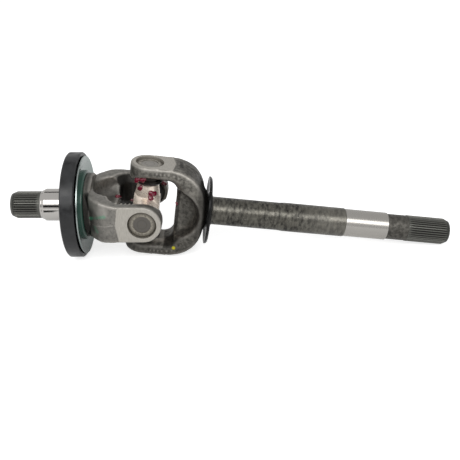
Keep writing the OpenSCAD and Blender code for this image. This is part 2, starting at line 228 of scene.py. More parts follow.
lamp_data = bpy.data.lights.new("softbox", "AREA")
lamp_data.shape = "RECTANGLE"
lamp_data.size, lamp_data.size_y = LAMP_SIZE
lamp_data.energy = LAMP_RADIANCE * math.pi * LAMP_SIZE[0] * LAMP_SIZE[1]
lamp = bpy.data.objects.new("softbox", lamp_data)
lamp.location = (LAMP_CENTRE_X, -LAMP_DISTANCE * math.cos(LAMP_ELEVATION),
                 LAMP_DISTANCE * math.sin(LAMP_ELEVATION))
lamp.rotation_euler = (QUARTER - LAMP_ELEVATION, 0, 0)
scene.collection.objects.link(lamp)
print("lamp:", LAMP_SIZE, "m")

# %% [markdown]
# A reflection needs something to reflect. Photographers stand black cards round a bright journal, because
# their reflections draw dark lines along it that tell the eye how round and how smooth it is. Three cards
# stand about the hub end's journal, each between two azimuths and two elevations, and only mirrors see them.
# The low one is a painted shadow: it stands for the object's shadow on the floor, as the journal mirrors it.

# %% Black cards
JOURNAL_PLACE = np.array([-0.045, 0.0, 0.0])
CARD_DISTANCE = 2.0
CARD_ABOVE_FLOOR = 0.95
CARD_CORNERS = ((0, 0), (1, 0), (1, 1), (0, 1))
# The low card is a painted shadow: a dark sheet where the journal mirrors the floor's shadow.
CARDS = {"card_ahead": ((-24, -8), (5, 20)), "floor_shadow_card": ((-26, -8), (-27, -14)),
         "card_behind": ((-166, -146), (47, 57))}

black_felt = bpy.data.materials.new("black_felt")
black_felt.use_nodes = True
felt = black_felt.node_tree.nodes["Principled BSDF"].inputs
felt["Base Color"].default_value = linear("#0c0c0c")
felt["Roughness"].default_value = 1.0
for name, (azimuths, elevations) in CARDS.items():
    azimuth, elevation = np.radians([(azimuths[i], elevations[j]) for i, j in CARD_CORNERS]).T
    level = np.cos(elevation)
    aim = np.stack([np.sin(azimuth) * level, -np.cos(azimuth) * level, np.sin(elevation)], 1)
    to_floor = np.where(aim[:, 2] < 0, CARD_ABOVE_FLOOR * FLOOR_Z / aim[:, 2], CARD_DISTANCE)
    distance = np.minimum(to_floor, CARD_DISTANCE)
    card = stage_piece(name, JOURNAL_PLACE + aim * distance[:, None], black_felt)
    card.visible_camera = card.visible_diffuse = card.visible_shadow = False
print("cards:", list(CARDS))

# %% [markdown]
# The yokes are hot forgings. Real forgings have no sharp edges, apart from those that a cutter made later
# on the ear pads and bores. The CAD copy is therefore cut off at the shaft, turned into an even net of
# small squares by a voxel remesh, and relaxed: each point moves towards the mean of its neighbours. Points
# on machined faces are held where the CAD has them, so pads, bores and joint fits stay true.

# %% From CAD to net
VOXEL_MM = 0.9
MERGE_M = 2e-6


def cut_copy(node_name, place, cut_x, keep_yoke):
    """Closed copy of a CAD shaft on one side of the plane x = cut_x of its own frame."""
    shell = bmesh.new()
    shell.from_mesh(nodes[node_name].data)
    bmesh.ops.remove_doubles(shell, verts=shell.verts, dist=MERGE_M)
    cut = bmesh.ops.bisect_plane(shell, geom=shell.verts[:] + shell.edges[:] + shell.faces[:],
                                 plane_co=place @ Vector((cut_x * MM, 0, 0)),
                                 plane_no=place.to_3x3() @ Vector((1, 0, 0)),
                                 clear_outer=keep_yoke, clear_inner=not keep_yoke)
    rim = [item for item in cut["geom_cut"] if isinstance(item, bmesh.types.BMEdge)]
    bmesh.ops.edgeloop_fill(shell, edges=rim)
    bmesh.ops.recalc_face_normals(shell, faces=shell.faces)
    mesh = bpy.data.meshes.new(node_name + "_half")
    shell.to_mesh(mesh)
    shell.free()
    return mesh


def voxel_net(mesh):
    """The same closed form as an even net of squares, one voxel wide."""
    blank = bpy.data.objects.new("forging_blank", mesh)
    scene.collection.objects.link(blank)
    remesh = blank.modifiers.new("voxels", "REMESH")
    remesh.mode = "VOXEL"
    remesh.voxel_size = VOXEL_MM * MM
    net = bpy.data.meshes.new_from_object(blank.evaluated_get(bpy.context.evaluated_depsgraph_get()))
    bpy.data.objects.remove(blank)
    return net


print("net of", VOXEL_MM, "mm")

# %% [markdown]
# A net is worked on as whole arrays: its points, its normals and the pairs of points that its edges join.
# Relaxing and the edge mask both compare a point with the mean of its neighbours. That mask lays wear and a
# painted highlight on convex edges. A Smooth modifier could relax the net too, but the masks need the same
# arrays, so one set of tools does both.

# %% Tools for a net
EDGE_ROUNDS = 2
EDGE_MM = (0.006, 0.03)


def mesh_points(mesh):
    """All points of a mesh as one array."""
    points = np.empty(len(mesh.vertices) * 3)
    mesh.vertices.foreach_get("co", points)
    return points.reshape(-1, 3)


def mesh_normals(mesh):
    """All point normals of a mesh as one array."""
    normals = np.empty(len(mesh.vertices) * 3)
    mesh.vertex_normals.foreach_get("vector", normals)
    return normals.reshape(-1, 3)


def neighbour_mean(values, edges):
    """Mean over each point's neighbours: the sum over its edges divided by their count."""
    here, there = np.concatenate([edges, edges[:, ::-1]]).T
    total = [np.bincount(here, column[there], len(values)) for column in values.T]
    return np.stack(total, 1) / np.bincount(here, minlength=len(values))[:, None]


def relax(points, edges, freedom, rounds):
    """Laplacian smoothing: each round moves a point half way to its neighbours' mean, times its freedom."""
    for _ in range(rounds):
        points = points + 0.5 * freedom[:, None] * (neighbour_mean(points, edges) - points)
    return points


def step(low, high, value):
    """Smooth step: 0 below low, 1 above high and 3t² - 2t³ between. It falls where low is above high."""
    t = np.clip((value - low) / (high - low), 0, 1)
    return t * t * (3 - 2 * t)


# Painted highlight: convex edges are made paler, partly for wear and partly for the light that round edges
# catch.
def edge_wear_and_highlight(points, normals, edges):
    """0 on flat skin and 1 on a convex edge: how far a point stands out from its neighbours' mean."""
    stands_out = np.sum((points - neighbour_mean(points, edges)) * normals, 1, keepdims=True) / MM
    for _ in range(EDGE_ROUNDS):
        stands_out = neighbour_mean(stands_out, edges)
    return step(*EDGE_MM, stands_out[:, 0])


def keep_mask(piece, name, values):
    """Stores one number for each point of a piece as an attribute that a material can read."""
    attribute = piece.data.attributes.new(name, "FLOAT", "POINT")
    attribute.data.foreach_set("value", np.asarray(values, np.float32))


print("edges count as worn from", EDGE_MM[0], "mm")

# %% [markdown]
# The masks below say which points of a yoke a cutter has touched. They are written in the yoke's own frame,
# in millimetres: a pad is the plane at the ear's end, a bore is the cylinder about the pins, and the flat
# inside each ear is where the retaining clip bears. Everything else keeps its forged skin.

# %% Machined faces
PAD_REACH = 65.7
BORE_R = 19.5
EAR_FACE = 45.0
EAR_HALF_W = 26.5
FLAT_HALF_W = 14.0
WINDOW_X = 26.5
SNAP_MM = 0.5
MILL_V = (36.2, 4.3)
MILL_SPILL = 0.6
BORE_SPILL = 1.0


def past_mill_line(p):
    """Distance past the end of the milled pad, which is a shallow V across the arm."""
    return p[:, 0] - MILL_V[0] + MILL_V[1] * np.abs(p[:, 1]) / EAR_HALF_W


def machined(p, pad_inset):
    """True where a point lies on an ear's milled pad, in a bore or on an ear's inner flat.

    The pad ends an inset short of the ear's edge: a round end about the pin and two straight sides."""
    x, y, reach = p[:, 0], p[:, 1], np.abs(p[:, 2])
    inside = np.hypot(np.minimum(x, 0), y) < EAR_HALF_W - pad_inset
    pad = inside & (reach > PAD_REACH - SNAP_MM) & (past_mill_line(p) < MILL_SPILL)
    bore = (np.hypot(x, y) < BORE_R + SNAP_MM) & (reach > EAR_FACE - BORE_SPILL)
    flat = (np.abs(reach - EAR_FACE) < SNAP_MM) & (np.abs(y) < FLAT_HALF_W) & (x < WINDOW_X)
    return pad, bore, flat


def true_faces(p, pad, bore, flat):
    """Puts points of the net exactly on the plane or cylinder that they stand for."""
    p = p.copy()
    p[pad, 2] = np.sign(p[pad, 2]) * PAD_REACH
    p[flat, 2] = np.sign(p[flat, 2]) * EAR_FACE
    p[bore, :2] *= (BORE_R / np.hypot(p[bore, 0], p[bore, 1]))[:, None]
    return p


print("a yoke's ears end", PAD_REACH, "mm from the joint's centre")

# %% [markdown]
# Forged skin is never quite flat. On the side of an arm stands a row of beads, where the metal that was
# squeezed out between the dies was trimmed off. They could be modelled one by one. Here they are a height, a
# function of the place on the yoke, which lifts the net along its normals, so they melt into the skin.

# %% Beads of the trimmed edge
WINDOW_Z = 31.0
FLARE = 0.62
TRIM_PITCH = 5.3
TRIM_HEIGHT = 1.2
TRIM_ASIDE = (EAR_HALF_W - 4.0, EAR_HALF_W - 1.5)
TRIM_HALF_W = (2.3, 0.7)
TRIM_FADE = 3
LEAST_MM = 0.1


def window_depth(p):
    """Depth of a point under the window's own surface, which is flared to both sides of its flat middle."""
    reach = np.abs(p[:, 2])
    round_corner = WINDOW_Z + np.hypot(p[:, 0] - WINDOW_X, reach - WINDOW_Z)
    depth = np.where(p[:, 0] > WINDOW_X, round_corner, reach)
    return depth - EAR_FACE - FLARE * np.maximum(np.abs(p[:, 1]) - FLAT_HALF_W, 0)


def trim_beads(p, depth, span, strength):
    """Trimmed strip on an arm's side, at a depth from its window, and its beads: a squared cosine along it.

    The strength is a pair: for the arm at negative z and for the arm at positive z."""
    bend = np.arctan2(p[:, 0] - WINDOW_X, np.maximum(np.abs(p[:, 2]) - WINDOW_Z, LEAST_MM))
    along = np.where(p[:, 0] > WINDOW_X, WINDOW_X + (EAR_FACE - WINDOW_Z + depth) * bend, p[:, 0])
    near_side = step(*TRIM_ASIDE, np.abs(p[:, 1]))
    near_edge = step(*TRIM_HALF_W, np.abs(window_depth(p) - depth))
    within = step(span[0], span[0] + TRIM_FADE, along) * step(span[1], span[1] - TRIM_FADE, along)
    strip = near_side * near_edge * within * np.where(p[:, 2] < 0, *strength)
    return strip, strip * (0.5 + 0.5 * np.cos(2 * math.pi * along / TRIM_PITCH)) ** 2


print("beads of", TRIM_HEIGHT, "mm every", TRIM_PITCH, "mm")

# %% [markdown]
# An arm's outer face is crowned, so that the dies let go, and a low ridge runs where they met. The whole
# skin waves by about a tenth of a millimetre. These are heights too, because a bump in the material would
# leave the outline and the long reflections as flat as the CAD has them.

# %% Ridge, crown and waves
BEND_X, BEND_Z, BEND_R = 32.0, 16.9, 49.0
OUTER_SKIN = (BEND_R - 4, BEND_R - 2)
RIDGE_HEIGHT = 0.7
RIDGE_HALF_W = 1.1
RIDGE_DRIFT = 0.15
RIDGE_MIDDLE_X = 36.0
RIDGE_START = (0.0, 3.0)
CROWN_SLOPE = math.tan(math.radians(5))
CROWN_START = (2, 16)
CROWN_END = (71.5, 63.5)
SKIN_HEIGHT = 0.14
SKIN_WAVES = ((0.52, 0.31, 0.17, 0.0), (-0.22, 0.47, 0.35, 1.9), (0.13, -0.36, 0.44, 4.1))


def parting_line(p):
    """Distance from the line where the dies met on the arms' outer faces, and 1 on those past the pads."""
    drift = RIDGE_DRIFT * np.sign(p[:, 2]) * (p[:, 0] - RIDGE_MIDDLE_X)
    bend_r = np.hypot(p[:, 0] - BEND_X, np.maximum(np.abs(p[:, 2]) - BEND_Z, 0))
    return p[:, 1] - drift, step(*RIDGE_START, past_mill_line(p)) * step(*OUTER_SKIN, bend_r)


def parting_ridge(p):
    """Low ridge on the parting line: a bell curve across it."""
    across, outside = parting_line(p)
    return outside * np.exp(-((across / RIDGE_HALF_W) ** 2))


def crown(p):
    """Crown of the outer faces: a height that falls from the parting line to both sides at one slope."""
    across, outside = parting_line(p)
    fade = step(*CROWN_START, past_mill_line(p)) * step(*CROWN_END, p[:, 0])
    return outside * fade * CROWN_SLOPE * np.maximum(EAR_HALF_W - np.abs(across), 0)


def forged_skin(p):
    """Gentle waves of a forged skin: the mean of sines in skew directions, 9 to 17 mm long."""
    return sum(np.sin(p @ np.array(wave[:3]) + wave[3]) for wave in SKIN_WAVES) / len(SKIN_WAVES)


print("ridge of", RIDGE_HEIGHT, "mm, waves of", SKIN_HEIGHT, "mm")

# %% [markdown]
# A forging is made in three moves. The net is relaxed with its machined faces held, the heights of its skin
# lift its points, and the turned shaft is joined on as the CAD has it. These are the first two. What the skin
# leaves behind, such as beads and convex edges that get wear and a painted highlight, is kept as numbers
# that a material can read.

# %% Soften a yoke
EDGE_BAND = (4.0, 2.0)
EDGE_X = (36, 42)


def set_points(mesh, points):
    """Moves all points of a mesh at once."""
    mesh.vertices.foreach_set("co", points.ravel())
    mesh.update()


def freedom_to_move(p, faces, root, edge_hold):
    """0 on machined faces and on the turned root, 1 on skin, and less along the edge of window and scoop.

    The root lies past root[0] along the shaft and within the radius root[1]."""
    turned_root = (p[:, 0] > root[0]) & (np.hypot(p[:, 1], p[:, 2]) < root[1])
    free = 1.0 - (np.logical_or.reduce(faces) | turned_root)
    return free * (1 - edge_hold * step(*EDGE_BAND, np.abs(window_depth(p))) * step(*EDGE_X, p[:, 0]))


def forge_net(net, place, root, beads, pad_inset, softness, edge_hold):
    """Softens a yoke's net, lifts its skin and gives back its marks.

    The softness gives the rounds of relaxing for the whole yoke, those that the root gets as well, and the
    stretch along the shaft over which these set in."""
    edges = np.empty(len(net.edges) * 2, int)
    net.edges.foreach_get("vertices", edges)
    edges = edges.reshape(-1, 2)
    p = to_local(mesh_points(net), place)
    faces = machined(p, pad_inset)
    freedom = freedom_to_move(p, faces, root, edge_hold)
    rounds, root_rounds, root_x = softness
    p = relax(true_faces(p, *faces), edges, freedom, rounds)
    p = relax(p, edges, freedom * step(*root_x, p[:, 0]), root_rounds)
    set_points(net, to_row(p, place))
    wear_and_highlight = edge_wear_and_highlight(mesh_points(net), mesh_normals(net), edges)
    strip, bead = trim_beads(p, *beads)
    ridge = parting_ridge(p)
    lift = freedom * (TRIM_HEIGHT * bead + RIDGE_HEIGHT * ridge + SKIN_HEIGHT * forged_skin(p) + crown(p))
    set_points(net, mesh_points(net) + mesh_normals(net) * lift[:, None] * MM)
    # The parting ridge joins the edge mask, so a painted highlight runs along its crest.
    return {"wear_and_highlight": np.maximum(wear_and_highlight, ridge ** 3), "strip": strip, "bead": bead}


print("a yoke's edge is held in a band of", EDGE_BAND[0], "mm")

# %% [markdown]
# The third move joins the yoke and the shaft into one piece. Each half has its own limit for a sharp edge,
# because the edges of a forging are round and those of a spline are not. The shaft has no forged skin, so
# the numbers on its points are zeros.

# %% Join yoke and shaft
NET_SHARP = 38
SHAFT_SHARP = 12


def forged_piece(node_name, piece_name, place, cut_x, form):
    """Softened copy of one shaft: forged yoke in front of cut_x, unchanged shaft behind it."""
    net = voxel_net(cut_copy(node_name, place, cut_x, True))
    marks = forge_net(net, place, **form)
    shaft = cut_copy(node_name, place, cut_x, False)
    shaft.attributes.remove(shaft.attributes["custom_normal"])
    whole = bmesh.new()
    for half, sharp_angle in ((net, NET_SHARP), (shaft, SHAFT_SHARP)):
        half.shade_smooth()
        half.set_sharp_from_angle(angle=math.radians(sharp_angle))
        whole.from_mesh(half)
    mesh = bpy.data.meshes.new(piece_name)
    whole.to_mesh(mesh)
    whole.free()
    piece = bpy.data.objects.new(piece_name, mesh)
    scene.collection.objects.link(piece)
    shaft_points = len(mesh.vertices) - len(net.vertices)
    for name, values in marks.items():
        keep_mask(piece, name, np.pad(values, (0, shaft_points)))
    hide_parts(node_name)
    return piece


print("edges are sharp past", NET_SHARP, "degrees on a yoke and", SHAFT_SHARP, "on a shaft")

# %% [markdown]
# Both shafts are forged in the same way. The inner one ends at its dirt slinger, the hub one at the collar
# of its seal, and behind those places the turned shaft stays as the CAD has it. The beads of the two yokes
# lie at different depths, because their flash was trimmed in different dies.

# %% Forged shafts
INNER_CUT_X = 88.0
INNER_FORM = dict(root=(83.0, 60.0), beads=(6.3, (5.0, 40.0), (0.5, 0.45)), pad_inset=2.0,
                  softness=(44, 50, (36.0, 50.0)), edge_hold=0.0)
HUB_CUT_X = 83.0
HUB_FORM = dict(root=(71.5, 45.6), beads=(1.2, (8.0, 38.0), (1.0, 0.25)), pad_inset=1.2,
                softness=(22, 90, (56.0, 68.0)), edge_hold=0.85)
inner_forging = forged_piece("inner_shaft", "inner_forging", INNER, INNER_CUT_X, INNER_FORM)
hub_forging = forged_piece("stub_shaft", "hub_forging", HUB, HUB_CUT_X, HUB_FORM)
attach(inner_forging, "inner_axle")
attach(hub_forging, "hub_axle")
for piece in (inner_forging, hub_forging):
    print(piece.name, "has", len(piece.data.vertices), "points")

# %% [markdown]
# Marks of cutters, oil, paint, painted shade and painted highlight are numbers on the points as well, so one
# material can be forged skin in one place and milled metal in another. The milled pad ends in a shallow V,
# because the cutter leaves the arm where its ridge falls away, and a painted shade line marks its border. The
# crests of a spline's teeth are told by their radius.

# %% Marks of cutters
PAD_SKIN = (PAD_REACH - 0.35, PAD_REACH - 0.05)
MILL_SOFT = 0.7
INNER_FLAT, HUB_FLAT = 0.5, 0.05
TOOTH_R = (17.2, 18.9)
INNER_TIP_X, HUB_TIP_X = 442.5, 188.6
TIP_CHAMFER = (3.4, 2.8)


def milled_mask(p, flat_amount):
    """1 on pads inside the V that the cutter leaves and in bores, and an amount on the ears' inner flats."""
    on_pad = step(*PAD_SKIN, np.abs(p[:, 2])) * step(MILL_SOFT, -MILL_SOFT, past_mill_line(p))
    _, bore, flat = machined(p, 0)
    return np.maximum.reduce([on_pad, 1.0 * bore, flat_amount * flat])


def crest_mask(p, tip_x):
    """1 on the crests of the spline's teeth and 0 between them, with a plain chamfer at the shaft's tip."""
    chamfer = step(tip_x - TIP_CHAMFER[0], tip_x - TIP_CHAMFER[1], p[:, 0])
    return np.maximum(step(*TOOTH_R, np.hypot(p[:, 1], p[:, 2])), chamfer)


inner_p = to_local(mesh_points(inner_forging.data), INNER)
hub_p = to_local(mesh_points(hub_forging.data), HUB)
for piece, p, flat_amount, tip_x in ((inner_forging, inner_p, INNER_FLAT, INNER_TIP_X),
                                     (hub_forging, hub_p, HUB_FLAT, HUB_TIP_X)):
    milled = milled_mask(p, flat_amount)
    keep_mask(piece, "milled", milled)
    # Painted shade: a dark line along the milled pad's border stands for the shade of the small step there.
    keep_mask(piece, "mill_step_shade", 4 * milled * (1 - milled))
    keep_mask(piece, "crest", crest_mask(p, tip_x))
    print(piece.name, "has", int(np.sum(milled > 0.9)), "milled points")

# %% [markdown]
# Dirt, rubbing, painted shade and painted sheen have soft borders, so each place is a soft patch with bounds
# along the axes of the yoke's own frame. A bound is a pair: where the patch has ended and where it is full.
# A painted picture would do the same, but patches are measured in millimetres and need no file.

# %% Soft patches
LEAN = 0.25
WINDOW_SKIN = (3.6, 1.2)


def patch(p, amount=1.0, **bounds):
    """Soft patch: an amount times one smooth step for each bound.

    A bound lies along x (end_x at its far end), y or z, aside (|y|), out (|z|), or along x leaning to y."""
    x, y, z = p.T
    ways = {"x": x, "end_x": x, "y": y, "z": z, "aside": np.abs(y), "out": np.abs(z), "lean": x - LEAN * y}
    return amount * np.prod([step(*bound, ways[way]) for way, bound in bounds.items()], axis=0)


def in_window(p):
    """1 on the surface of a yoke's window."""
    return step(*WINDOW_SKIN, np.abs(window_depth(p)))


print("a window's skin is", WINDOW_SKIN[0], "mm deep")

# %% [markdown]
# Old oil and painted shade darken the joint. Inside the yokes' windows, in the coves and scoops of their
# roots, on the rings behind them and on the arms' lower sides the darkening is mostly painted shade, laid
# where shade falls, with some oil. Brown dirt lies on the top of the hub yoke's front ear. The dark window
# makes the bright cross stand out.

# %% Oil and painted shade
# Painted shade: these patches darken windows, coves, scoops, crotch edges, rings and lower sides where shade
# falls.
INNER_WINDOW_SHADE = dict(x=(6, 13), end_x=(45, 39), aside=(24, 17))
NEAR_COVE = dict(amount=0.9, lean=(32, 35), end_x=(44, 41), y=(-6, -13))
LOWER_ARM = dict(amount=0.5, z=(10, -45))
LOWER_WINDOW = dict(amount=0.8, aside=(23, 17))
INNER_SCOOP = dict(amount=0.5, x=(42, 52), aside=(27, 20))
CROTCH_EDGE = dict(amount=0.85, x=(40, 42), end_x=(47.5, 45), aside=(14, 8))
INNER_RING = dict(amount=0.75, x=(65, 73), end_x=(INNER_CUT_X + 8, INNER_CUT_X))
HUB_WINDOW_SHADE = dict(x=(6, 13), end_x=(47, 44), aside=(27, 24))
HUB_RING = dict(amount=0.54, x=(72, 74.5))
HUB_RING_BY_ARM = dict(amount=0.46, x=(72, 74.5), out=(27, 37))
HUB_SCOOP = dict(amount=0.7, x=(58, 70), aside=(24, 12))
HUB_SCOOP_EDGE = dict(amount=0.4, x=(44, 47), aside=(25, 16), out=(50, 46))
HUB_EAR_TOP = dict(amount=0.45, x=(13, 3), y=(19, 23), out=(62, 56))
HUB_UNDERSIDE = dict(amount=0.18, y=(-6, -20))


def inner_oil_and_shade(p):
    """Oil and painted shade on the inner yoke: the largest of its patches. Its lower arm is darkened less
    inside the window.
    """
    window = in_window(p)
    return np.maximum.reduce([
        window * patch(p, **INNER_WINDOW_SHADE) * (p[:, 2] > 0), window * patch(p, **NEAR_COVE) * (p[:, 2] < 0),
        patch(p, **LOWER_ARM) * (1 - window * patch(p, **LOWER_WINDOW)),
        patch(p, **INNER_SCOOP), patch(p, **CROTCH_EDGE), patch(p, **INNER_RING)])


def hub_oil_and_shade(p):
    """Oil and painted shade on the hub yoke: the largest of its patches. Its root's ring is darkest behind
    the arms, a painted shadow.
    """
    return np.maximum.reduce([
        in_window(p) * patch(p, **HUB_WINDOW_SHADE), patch(p, **HUB_RING) + patch(p, **HUB_RING_BY_ARM),
        patch(p, **HUB_SCOOP), patch(p, **HUB_SCOOP_EDGE),
        patch(p, **HUB_EAR_TOP), patch(p, **HUB_UNDERSIDE)])


for piece, oil_and_shade in ((inner_forging, inner_oil_and_shade(inner_p)), (hub_forging, hub_oil_and_shade(hub_p))):
    keep_mask(piece, "oil_and_shade", oil_and_shade)
    print(piece.name, "has", int(np.sum(oil_and_shade > 0.5)), "oily points")

# %% [markdown]
# Clips rub the inside of the inner yoke's lower ear pale. The hub arms get a painted sheen: a pale coat on
# their upper half and next to the ring of their root, where their curve catches the lamp. Both are patches
# as well, and the outer ones keep to the arms' outer faces.

# %% Rubbed places and painted sheen
RUB_AND_SHEEN = 0.45
CLEANED_EAR = dict(x=(30, 27), aside=(22, 15))
# Painted sheen: the hub arms' upper half and the start of their root are made paler where they catch the
# lamp.
SHEEN_TOP = dict(x=(42, 50), y=(6, 16))
SHEEN_BY_RING = dict(amount=0.7, x=(60, 67))
SHEEN_END = dict(x=(75, 71))


def inner_rub(p):
    """Cleaned place on the inside of the inner yoke's lower ear, up to the start of the bend."""
    return RUB_AND_SHEEN * in_window(p) * patch(p, **CLEANED_EAR) * (p[:, 2] < 0)


def hub_sheen(p):
    """Painted sheen on the hub yoke's arms: a pale coat on their upper half and, fainter, next to the ring of
    its root.
    """
    places = np.maximum(patch(p, **SHEEN_TOP), patch(p, **SHEEN_BY_RING))
    return RUB_AND_SHEEN * parting_line(p)[1] * places * patch(p, **SHEEN_END)


for piece, rub_and_sheen in ((inner_forging, inner_rub(inner_p)), (hub_forging, hub_sheen(hub_p))):
    keep_mask(piece, "rub_and_sheen", rub_and_sheen)
    print(piece.name, "has", int(np.sum(rub_and_sheen > RUB_AND_SHEEN / 2)), "rubbed points")

# %% [markdown]
# Two small marks tell of the workshop: a smear of green from the collar's coat on the hub yoke, and a dot of
# yellow paint on the inner one. Each follows a chain of points on the surface, with a radius about it.

# %% Paint marks
SMEARS = ((1.0, 2.6, ((71.0, 1.3, -46.0), (65.0, 4.8, -51.5))),
          (0.5, 2.6, ((65.0, 4.8, -51.5), (59.0, 8.3, -57.0), (49.0, 12.0, -62.6))),
          (0.4, 3.5, ((63.0, -7.0, -54.5), (61.0, -13.0, -55.5))))
PAINT_DOT_R = 2.3
PAINT_DOT = ((43.1, -27.8, -51.4), (43.3, -27.0, -51.4))
PATH_EDGE = (1.35, 0.7)


def near_path(p, path, radius):
    """1 within a radius of a chain of straight pieces, falling to 0 a little outside it."""
    nearest = np.full(len(p), np.inf)
    for start, end in zip(np.array(path[:-1]), np.array(path[1:])):
        along = np.clip((p - start) @ (end - start) / np.sum((end - start) ** 2), 0, 1)
        nearest = np.minimum(nearest, np.linalg.norm(p - start - along[:, None] * (end - start), axis=1))
    return step(radius * PATH_EDGE[0], radius * PATH_EDGE[1], nearest)


green = np.maximum.reduce([amount * near_path(hub_p, path, radius) for amount, radius, path in SMEARS])
keep_mask(hub_forging, "green", green)
keep_mask(inner_forging, "yellow", near_path(inner_p, PAINT_DOT, PAINT_DOT_R))
print("masks:", [a.name for a in hub_forging.data.attributes if a.data_type == "FLOAT"])

# %% [markdown]
# A finish is a recipe: a function that adds its patterns to a node tree and gives back the sockets of the
# shader. Patterns are measured in millimetres on the object. Colour is laid on in coats, the way paint, dirt
# and wear lie over bare metal, and each coat has a mask.

# %% Material tools
def material_from(name, recipe):
    """New material whose Principled shader takes its sockets from recipe(tree)."""
    material = bpy.data.materials.new(name)
    material.use_nodes = True
    tree = material.node_tree
    tree.nodes.clear()
    shader = add_node(tree, "ShaderNodeBsdfPrincipled", recipe(tree))
    add_node(tree, "ShaderNodeOutputMaterial", {"Surface": shader.outputs[0]})
    return material


def place_mm(tree, turn=Matrix(), stretch=(1, 1, 1)):
    """Place on the object in millimetres from the joint's centre, in a turned and stretched frame."""
    place = add_node(tree, "ShaderNodeTexCoord").outputs["Object"]
    return add_node(tree, "ShaderNodeMapping", {
        "Vector": place, "Location": CENTRE, "Rotation": turn.to_euler(), "Scale": Vector(stretch) * MM,
    }, vector_type="TEXTURE").outputs[0]


def mottle(tree, size_mm, low, high, detail=3.0, turn=Matrix(), stretch=(1, 1, 1)):
    """Noise with features of size_mm, spread so that low..high of it becomes 0..1."""
    noise = add_node(tree, "ShaderNodeTexNoise", {
        "Vector": place_mm(tree, turn, stretch), "Scale": 1 / size_mm, "Detail": detail})
    spread = {"Value": noise.outputs["Fac"], "From Min": low, "From Max": high}
    return add_node(tree, "ShaderNodeMapRange", spread).outputs[0]


def coats_over(tree, colour, coats):
    """A colour with coats over it. A coat is a mask, a strength up to 1, and a hex colour or a socket."""
    colour = linear(colour)
    for mask, strength, coat in coats:
        if strength < 1:
            mask = add_node(tree, "ShaderNodeMath", {0: mask, 1: strength}, operation="MULTIPLY").outputs[0]
        coat = linear(coat) if isinstance(coat, str) else coat
        # Sockets 0, 6 and 7 of a colour mix are its factor and its two colours.
        colour = add_node(tree, "ShaderNodeMix", {0: mask, 6: colour, 7: coat}, data_type="RGBA").outputs[2]
    return colour


print("material tools ready")

# %% [markdown]
# Forged skin is grey oxide with fine dark pits. It is paler on edges, from wear and a painted highlight, and
# on the hub arms' painted sheen. It is darker where oil lies and where shade is painted in, so the eye reads
# it as worked, used metal. Cutters leave long pale lines on the pads. One material holds all of it, because a
# border between two materials would follow the net's squares.

# %% Forged steel
MASK_NAMES = ("wear_and_highlight", "rub_and_sheen", "strip", "bead", "oil_and_shade", "milled", "mill_step_shade", "green", "yellow")


def forged_steel(tree, dark, pale, pitted, turn):
    """Blasted forging: dull flakes of 4 mm and pits of 2 mm, paler on edges from wear and painted highlight,
    darker with oil and painted shade, with cutter lines on its pads.

    Its grit is finer than a pixel on the real part and is drawn at 0.9 mm, to break the highlights."""
    mask = {name: add_node(tree, "ShaderNodeAttribute", attribute_name=name).outputs["Fac"]
            for name in MASK_NAMES}
    flakes = mottle(tree, 4.4, 0.36, 0.66, detail=5)
    grit = mottle(tree, 0.9, 0.32, 0.68)
    pits = mottle(tree, 2.3, 0.6, 0.7)
    cutter = mottle(tree, 0.9, 0.3, 0.7, detail=4, turn=turn, stretch=(1, 9, 1))
    milled = coats_over(tree, "#a7a39b", ((cutter, 1, "#bbb7af"),))
    dragged = mottle(tree, 1.6, 0.34, 0.56, detail=4, turn=HUB_TURN, stretch=(3, 1, 1))
    smear = add_node(tree, "ShaderNodeMath", {0: mask["green"], 1: dragged}, operation="MULTIPLY").outputs[0]
    colour = coats_over(tree, dark, (
        # Pale coat: real rubbing inside the inner yoke's lower ear, painted sheen on the hub arms' outer
        # faces.
        (flakes, 1, pale), (pits, pitted, "#2c2a27"), (mask["rub_and_sheen"], 1, "#c4c0b9"),
        # Pale edge coat: partly wear, partly a painted highlight on convex edges and the parting ridge.
        (mask["wear_and_highlight"], 0.6, "#b0aca5"), (mask["strip"], 0.6, "#262422"), (mask["bead"], 1, "#c6c2ba"),
        # Dark coat: some oil, mostly painted shade in windows, scoops, rings and lower sides.
        # Dark line at the milled pad's border: painted shade of its step.
        (mask["oil_and_shade"], 0.92, "#1a1816"), (mask["milled"], 1, milled), (mask["mill_step_shade"], 0.5, "#3b3834"),
        (smear, 1, "#5aae88"), (mask["yellow"], 1, "#c9bf2c")))
    bump = add_node(tree, "ShaderNodeBump", {"Height": grit, "Strength": 0.3, "Distance": 0.2 * MM})
    rough = add_node(tree, "ShaderNodeMapRange", {"Value": grit, "To Min": 0.4, "To Max": 0.56})
    return {"Base Color": colour, "Metallic": 0.8, "Roughness": rough.outputs[0], "Normal": bump.outputs[0]}


inner_skin = material_from("forged_steel_inner", lambda tree: forged_steel(
    tree, dark="#54524d", pale="#84817a", pitted=0.6, turn=INNER_TURN))
hub_skin = material_from("forged_steel_hub", lambda tree: forged_steel(
    tree, dark="#787671", pale="#8b8882", pitted=0.5, turn=HUB_TURN))
print("forged finishes:", inner_skin.name, hub_skin.name)

# %% [markdown]
# The turned stretch of the inner shaft keeps its heat scale, which is darker and smoother than forged skin
# and flecked in short streaks round the shaft. A long soft highlight runs along it. The far end was less hot
# and is a little paler.

# %% Heat scale
COOLER_FROM, COOLER_TO = 206.0, 260.0
COOLER_AMOUNT = 0.3


